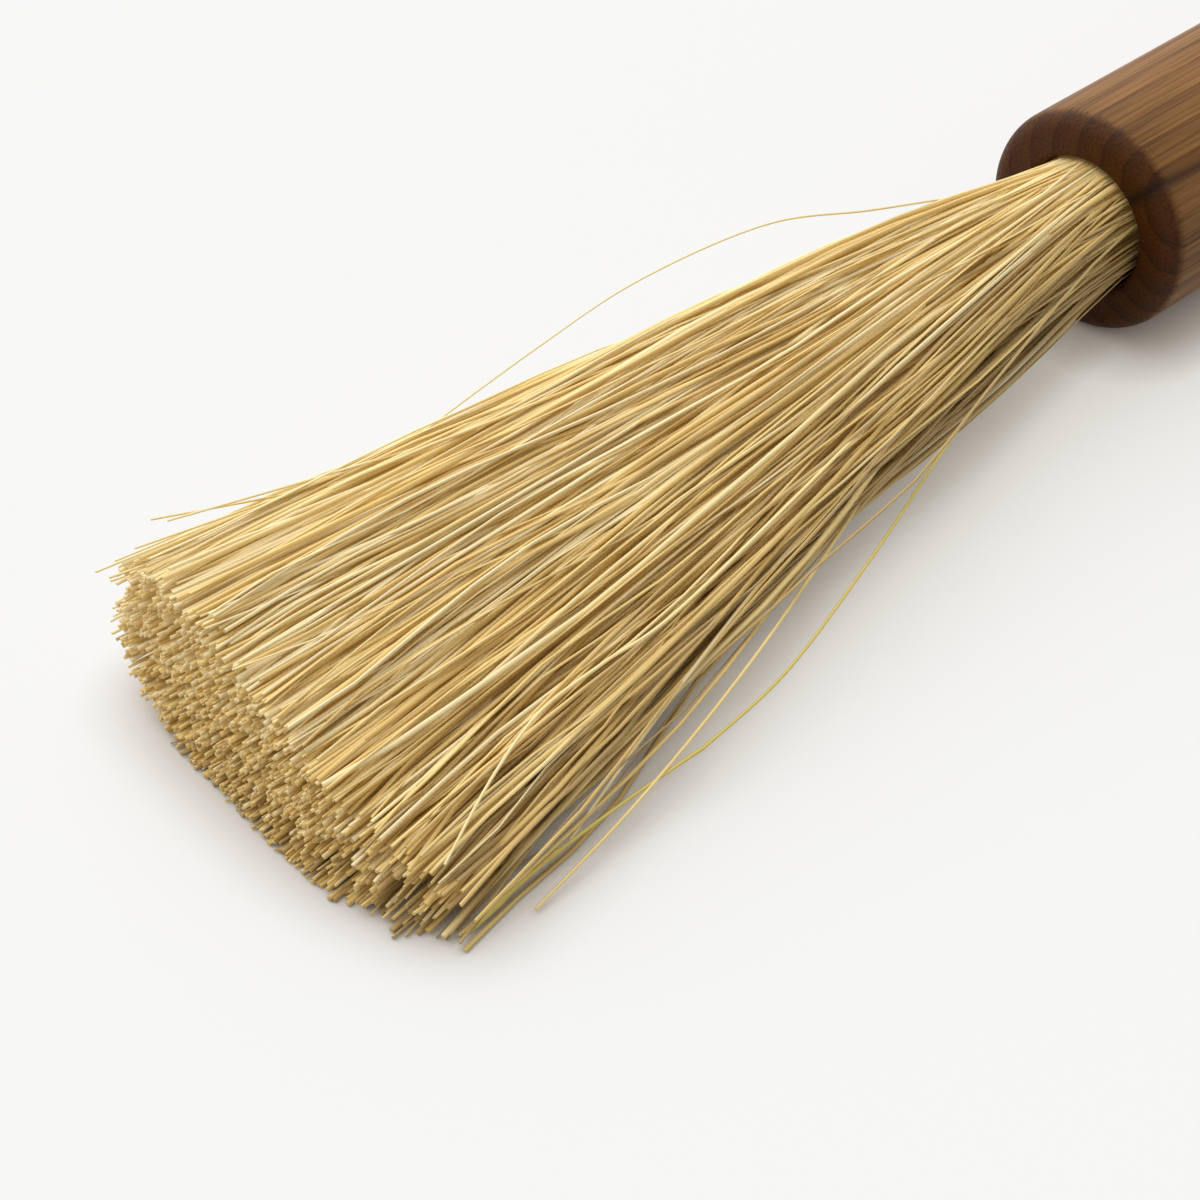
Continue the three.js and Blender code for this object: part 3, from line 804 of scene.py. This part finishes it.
def outline():
    """The handle's profile, as (distance from the mouth, radius) pairs, from axis to axis."""
    butt_edge = HANDLE_LENGTH - BUTT_ROUND
    straight = [(MOUTH_ROUND + RING_STEP * i, HANDLE_RADIUS) for i in range(1, FINE_RINGS + 1)]
    return [
        (SOCKET_DEPTH, 0),
        (SOCKET_DEPTH, SOCKET_RADIUS),
        (MOUTH_EASE, SOCKET_RADIUS),
        *quarter_round(MOUTH_EASE, SOCKET_RADIUS + MOUTH_EASE, MOUTH_EASE, 270, 180, steps=5)[1:],
        *quarter_round(MOUTH_ROUND, HANDLE_RADIUS - MOUTH_ROUND, MOUTH_ROUND, 180, 90),
        *straight,
        *eased((STRAIGHT_LENGTH, HANDLE_RADIUS), (WAIST, WAIST_RADIUS), steps=32),
        *eased((WAIST, WAIST_RADIUS), (butt_edge, BUTT_RADIUS), steps=44)[1:],
        *quarter_round(butt_edge, BUTT_RADIUS - BUTT_ROUND, BUTT_ROUND, 90, 0)[1:],
        (HANDLE_LENGTH, 0),
    ]


print("the profile has", len(outline()), "points")

# %% Spin the handle
SIDES = 192
STREAK_ANGLE = math.radians(135)
STREAK_HALF_WIDTH = 0.75 * MM
STREAK_LEAST = 0.35
WOBBLE = 0.03
WOBBLE_LENGTH = 6 * MM
CHECK_DEPTH = 0.35 * MM
CHECK_HALF_WIDTH = 0.45 * MM
CHECK_LENGTH = 30 * MM
SOAK_DEPTH = 5 * MM
SOAK_STRENGTH = 0.45
END_GRAIN_GAIN = 1.8
END_GRAIN_FROM = 0.3
CHECK_OUTSIDE = 0.9 * HANDLE_RADIUS


def spun(name, form, rings):
    """An object from rings of vertices. Each is joined to the next, and a single vertex closes an end."""
    for near, far in zip(rings, rings[1:]):
        count = max(len(near), len(far))
        for i in range(count):
            j = (i + 1) % count
            if len(near) == 1:
                form.faces.new((near[0], far[i], far[j]))
            elif len(far) == 1:
                form.faces.new((near[i], far[0], near[j]))
            else:
                form.faces.new((near[i], far[i], far[j], near[j]))
    bmesh.ops.recalc_face_normals(form, faces=form.faces)
    mesh = bpy.data.meshes.new(name)
    form.to_mesh(mesh)
    form.free()
    return placed(name, mesh)


profile = outline()
form = bmesh.new()
end_layer = form.verts.layers.float.new("end_grain")
streak_layer = form.verts.layers.float.new("streak")
rings = []
for number, (along, radius) in enumerate(profile):
    before = Vector(profile[max(number - 1, 0)])
    after = Vector(profile[min(number + 1, len(profile) - 1)])
    slope = (after - before).normalized()
    soaked_in = SOAK_STRENGTH * math.exp(-along / SOAK_DEPTH)
    across_grain = max(0.0, END_GRAIN_GAIN * abs(slope.y) - END_GRAIN_FROM)
    across_grain = min(1.0, across_grain + soaked_in)
    fade = max(0.0, 1 - along / CHECK_LENGTH)
    wobble = WOBBLE * math.sin(along / WOBBLE_LENGTH)
    ring = []
    for side in range(1 if radius == 0 else SIDES):
        angle = 2 * math.pi * side / SIDES
        off = abs((angle - STREAK_ANGLE - wobble + math.pi) % (2 * math.pi) - math.pi) * radius
        dip = CHECK_DEPTH * fade * math.exp(-((off / CHECK_HALF_WIDTH) ** 2))
        if radius <= CHECK_OUTSIDE:
            dip = 0
        level = radius - dip
        vert = form.verts.new(MOUTH + Vector((along, level * math.cos(angle), level * math.sin(angle))))
        vert[end_layer] = across_grain
        streak = math.exp(-((off / STREAK_HALF_WIDTH) ** 2))
        vert[streak_layer] = streak * (STREAK_LEAST + (1 - STREAK_LEAST) * fade)
        ring.append(vert)
    rings.append(ring)
handle = spun("turned_handle", form, rings)
handle.data.materials.append(WOOD)
handle.data.shade_smooth()
print("the spun handle has", len(handle.data.polygons), "faces")

# %% [markdown]
# The hanging hole is drilled through the butt and its rims are eased with a countersink, so that a cord
# doesn't fray. The drill is a spun profile too, wide at both ends, and a Boolean takes it out of the wood.

# %% Drill the hanging hole
HOLE_RADIUS = 3.6 * MM
HOLE_FROM_BUTT = 13 * MM
HOLE_SIDES = 96
RIM_EASE = 0.9 * MM
RIM_HEIGHT = BUTT_RADIUS - 0.35 * MM
SHARP_ANGLE = math.radians(38)

flare = HOLE_RADIUS + HANDLE_RADIUS - RIM_HEIGHT + RIM_EASE
upper = [(RIM_HEIGHT - RIM_EASE, HOLE_RADIUS), (HANDLE_RADIUS, flare), (HANDLE_RADIUS, 0)]
profile = [(-height, radius) for height, radius in reversed(upper)] + upper
centre = MOUTH + Vector((HANDLE_LENGTH - HOLE_FROM_BUTT, 0, 0))
form = bmesh.new()
rings = []
for height, radius in profile:
    count = 1 if radius == 0 else HOLE_SIDES
    turns = [2 * math.pi * i / count for i in range(count)]
    places = [centre + Vector((radius * math.cos(t), radius * math.sin(t), height)) for t in turns]
    rings.append([form.verts.new(place) for place in places])
cutter = spun("drill", form, rings)
bore = handle.modifiers.new("bore", "BOOLEAN")
bore.operation = "DIFFERENCE"
bore.object = cutter
bore.solver = "EXACT"
drilled = bpy.data.meshes.new_from_object(handle.evaluated_get(bpy.context.evaluated_depsgraph_get()))
handle.modifiers.remove(bore)
handle.data = drilled
bpy.data.objects.remove(cutter)
drilled.name = "turned_handle"
drilled.set_sharp_from_angle(angle=SHARP_ANGLE)
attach(handle, "root")
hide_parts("handle")
print("the drilled handle has", len(drilled.polygons), "faces")

# %% [markdown]
# ## The twine round the roots
#
# Inside the socket, the roots are whipped with one length of waxed twine. Twine is laid from three strands,
# so its section is three lobes that turn as they run. Geometry Nodes make it: a line is wound into a
# helix, a ring gets its lobes, and the curve's tilt turns the ring once for each lay. Only a brush that is
# taken apart shows the twine, but it is what holds the brush together.


# %% Waxed linen twine, buff and matt
def mottled(name, spot_size, detail, colours, strength, depth, finish):
    """A material with soft spots between two colours, and a bump that follows the spots."""
    material, add = new_material(name)
    place = add("ShaderNodeTexCoord").outputs["Object"]
    spots = add("ShaderNodeTexNoise", {"Vector": place, "Scale": 1 / spot_size, "Detail": detail})
    darker, lighter = [linear(colour) for colour in colours]
    colour = add("ShaderNodeMix", {0: spots, 6: darker, 7: lighter}, data_type="RGBA")
    bump = add("ShaderNodeBump", {"Strength": strength, "Distance": depth, "Height": spots})
    surface = add("ShaderNodeBsdfPrincipled", {"Base Color": colour, "Normal": bump, **finish})
    add("ShaderNodeOutputMaterial", [surface])
    return material


TWINE = mottled(
    "waxed_linen_twine",
    spot_size=0.4 * MM,
    detail=3.0,
    colours=("#A08B5C", "#CDBB90"),
    strength=0.4,
    depth=0.05 * MM,
    finish={"Roughness": 0.68},
)
print("made", TWINE.name)

# %% Wind the twine
TWINE_RADIUS = 0.45 * MM
TWINE_TURNS = 6
TWINE_POINTS = 96 * TWINE_TURNS + 1  # 96 steps to a turn
LAY_LENGTH = 4 * MM
LOBES = 3
LOBE_POINTS = 12
LOBE_DEPTH = 0.13
TWINE_LOW, TWINE_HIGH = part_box("root_twine")
winding_radius = (TWINE_HIGH[2] - TWINE_LOW[2]) / 2 - TWINE_RADIUS
twists = TWINE_TURNS * 2 * math.pi * winding_radius / LAY_LENGTH

TWINE_SIZES = {
    "Start": TWINE_LOW[0] + TWINE_RADIUS,
    "End": TWINE_HIGH[0] - TWINE_RADIUS,
    "Turns": float(TWINE_TURNS),
    "Winding Radius": winding_radius,
    "Twine Radius": TWINE_RADIUS,
    "Twists": twists,
}
TWINE_TREE, in_twine, asked = new_tree("laid_twine", {**TWINE_SIZES, "Material": "Material"})
line = in_twine("GeometryNodeCurvePrimitiveLine")
line = in_twine("GeometryNodeResampleCurve", {"Curve": line, "Count": TWINE_POINTS}, mode="COUNT")
factor = in_twine("GeometryNodeSplineParameter").outputs["Factor"]
angle = in_twine(MATH, [factor, asked["Turns"]], "MULTIPLY")
angle = in_twine(MATH, [angle, 2 * math.pi], "MULTIPLY")
spoke = in_twine("ShaderNodeCombineXYZ", {"Y": asked["Winding Radius"]})
round_axis = in_twine("ShaderNodeVectorRotate", {"Vector": spoke, "Angle": angle}, rotation_type="X_AXIS")
onward = in_twine(MAP_RANGE, [factor, 0.0, 1.0, asked["Start"], asked["End"]])
onward = in_twine("ShaderNodeCombineXYZ", {"X": onward, "Z": MOUTH.z})
place = in_twine(VECTOR, [round_axis, onward], "ADD")
helix = in_twine("GeometryNodeSetPosition", {"Geometry": line, "Position": place})
turn = in_twine(MATH, [factor, asked["Twists"]], "MULTIPLY")
turn = in_twine(MATH, [turn, 2 * math.pi], "MULTIPLY")
helix = in_twine("GeometryNodeSetCurveTilt", {"Curve": helix, "Tilt": turn})
ring = {"Resolution": LOBE_POINTS, "Radius": asked["Twine Radius"]}
ring = in_twine("GeometryNodeCurvePrimitiveCircle", ring)
ring_place = in_twine("GeometryNodeInputPosition")
corner = in_twine("GeometryNodeInputIndex")
lobe = in_twine(MATH, [corner, 2 * math.pi * LOBES / LOBE_POINTS], "MULTIPLY")
lobe = in_twine(MATH, [lobe], "COSINE")
lobe = in_twine(MATH, [lobe, LOBE_DEPTH, 1 - LOBE_DEPTH], "MULTIPLY_ADD")
lobed = in_twine(VECTOR, {0: ring_place, "Scale": lobe}, "SCALE")
ring = in_twine("GeometryNodeSetPosition", {"Geometry": ring, "Position": lobed})
swept(in_twine, {"Curve": helix, "Profile Curve": ring}, asked["Material"])

twine = grown("laid_twine", TWINE_TREE, {"Material": TWINE})
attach(twine, "root")
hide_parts("root_twine")
print("the twine has", len(twine.data.polygons), "faces and", round(twists), "twists")

# %% [markdown]
# ## The resin at the bottom of the socket
#
# The roots stand in a plug of poured resin. It is a plain disc, and the plain model's solid is already right,
# so that solid stays and only gets its finish: dark amber-brown, glossy, and a little uneven from cooling.

# %% Poured pine resin
RESIN = mottled(
    "poured_pine_resin",
    spot_size=4 * MM,
    detail=2.0,
    colours=("#2F1A0B", "#6A4020"),
    strength=0.3,
    depth=0.2 * MM,
    finish={"Roughness": 0.22, "IOR": 1.54},
)
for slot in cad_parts["resin_plug"].material_slots:
    slot.material = RESIN
print("the plug is", RESIN.name)

# %% [markdown]
# ## The table and the light
#
# The photograph was taken on a plain white table in soft daylight, which comes from behind and from the left.
# One very large, soft window gives the shadow that lies to the right of the brush, and a dim sky fills it.
#
# The table is white card, and light that bounces sees it as that. What the camera sees is a darker card with
# a glow, which shows the same brightness with softer shadows. Light Path tells the two apart. Close to the
# brush, Ambient Occlusion takes the glow away and turns the card warm brown: that is a painted contact shadow
# where the brush lies on the table. In the open the card is bluish and the glow warm, so the shadows there
# are painted warm. Far from the brush the table fades into the colour of the backdrop, so no horizon shows.

# %% White table
TABLE_SIZE = 60.0
BACKDROP = "#F6F6F5"
CONTACT_REACH = 8 * MM
TABLE_GLOW = 0.52
FADE_FROM = 0.4
FADE_TO = 1.0


def looked_at(add):
    """1 for what the camera sees, straight or in a shiny or clear surface, and 0 for bounced light."""
    ray = add("ShaderNodeLightPath").outputs
    seen = ray["Is Camera Ray"]
    for kind in ("Is Glossy Ray", "Is Transmission Ray"):
        seen = add(MATH, [seen, ray[kind]], "MAXIMUM")
    return seen


def white_table():
    """Matt white card. It bounces light like white card, but the camera sees its shadows at half strength,
    with a painted contact shadow close to the brush.
    """
    material, add = new_material("matt_white_card")
    card = add("ShaderNodeBsdfDiffuse", [linear("#DDDCDA")])
    # Painted contact shadow: where Ambient Occlusion finds the brush close, the card turns warm brown and
    # loses its glow.
    open_sky = add("ShaderNodeAmbientOcclusion", {"Distance": CONTACT_REACH}, samples=2).outputs["AO"]
    painted_shadow_tint = add("ShaderNodeMix", {0: open_sky, 6: linear("#8C7A62"), 7: linear("#9AA1AF")}, data_type="RGBA")
    darker_card = add("ShaderNodeBsdfDiffuse", [painted_shadow_tint])
    strength = add(MATH, [open_sky, TABLE_GLOW], "MULTIPLY")
    glow = add("ShaderNodeEmission", [linear("#FFF8E8"), strength])
    seen = add("ShaderNodeAddShader", [darker_card, glow])
    place = add("ShaderNodeTexCoord").outputs["Object"]
    far = add(VECTOR, [place], "LENGTH")
    far = add(MAP_RANGE, [far, FADE_FROM, FADE_TO], interpolation_type="SMOOTHSTEP")
    wall = add("ShaderNodeEmission", [linear(BACKDROP), 1.0])
    seen = add("ShaderNodeMixShader", [far, seen, wall])
    surface = add("ShaderNodeMixShader", [looked_at(add), card, seen])
    add("ShaderNodeOutputMaterial", [surface])
    material.cycles.emission_sampling = "NONE"
    return material


# The table reaches further back than forward, so the seam of its two triangles stays far from the brush.
half = TABLE_SIZE / 2
near_edge = -0.3 * TABLE_SIZE
far_edge = near_edge + TABLE_SIZE
corners = [(-half, near_edge, 0), (half, near_edge, 0), (half, far_edge, 0), (-half, far_edge, 0)]
table_mesh = bpy.data.meshes.new("table")
table_mesh.from_pydata(corners, [], [(0, 1, 2, 3)])
table_mesh.materials.append(white_table())
table = placed("table", table_mesh)
print("the table is", TABLE_SIZE, "m wide")

# %% Sky and window
SKY_STRENGTH = 0.4
WINDOW_SIZE = 6.0
WINDOW_POWER = 222.0
WINDOW_PLACE = Vector((-0.2, 1.68, 2.59))
WINDOW_AIM = Vector((-0.06, 0, 0))

sky = bpy.data.worlds.new("sky")
sky.use_nodes = True
sky.node_tree.nodes.clear()
in_sky = partial(add_node, sky.node_tree)
dim_room = in_sky("ShaderNodeBackground", [linear("#FFFDFA"), SKY_STRENGTH])
white_wall = in_sky("ShaderNodeBackground", [linear(BACKDROP), 1.0])
backdrop = in_sky("ShaderNodeMixShader", [looked_at(in_sky), dim_room, white_wall])
in_sky("ShaderNodeOutputWorld", [backdrop])
bpy.context.scene.world = sky

window = bpy.data.lights.new("window", "AREA")
window.shape = "RECTANGLE"
window.size = WINDOW_SIZE
window.size_y = WINDOW_SIZE
window.energy = WINDOW_POWER
window.color = linear("#FFFBF4")[:3]
window_lamp = placed("window", window)
window_lamp.location = WINDOW_PLACE
window_lamp.rotation_euler = (WINDOW_AIM - WINDOW_PLACE).to_track_quat("-Z", "Y").to_euler()
print("sky and window are in place")

# %% [markdown]
# ## The camera
#
# The photograph looks down on the tip from the front left, from about a quarter of a metre away. The handle
# runs out of the picture at the upper right. The angles and the distance here were fitted to the outline of
# the handle's end and of the fan.

# %% Place the camera
CAMERA_AZIMUTH = math.radians(-43.06)
CAMERA_ELEVATION = math.radians(41.86)
CAMERA_DISTANCE = 249.4 * MM
LOOKED_AT = Vector((MOUTH.x - 70.81 * MM, 1.42 * MM, 0))

level = math.cos(CAMERA_ELEVATION)
backward = Vector(
    (math.sin(CAMERA_AZIMUTH) * level, -math.cos(CAMERA_AZIMUTH) * level, math.sin(CAMERA_ELEVATION))
)
lens = bpy.data.cameras.new("camera")
lens.sensor_width = 36
lens.lens = 75
lens.clip_start = 0.01
camera = placed("camera", lens)
camera.location = LOOKED_AT + backward * CAMERA_DISTANCE
camera.rotation_euler = backward.to_track_quat("Z", "Y").to_euler()
bpy.context.scene.camera = camera
bpy.context.scene.view_settings.view_transform = "Standard"
print("the camera stands at", [round(c, 3) for c in camera.location])
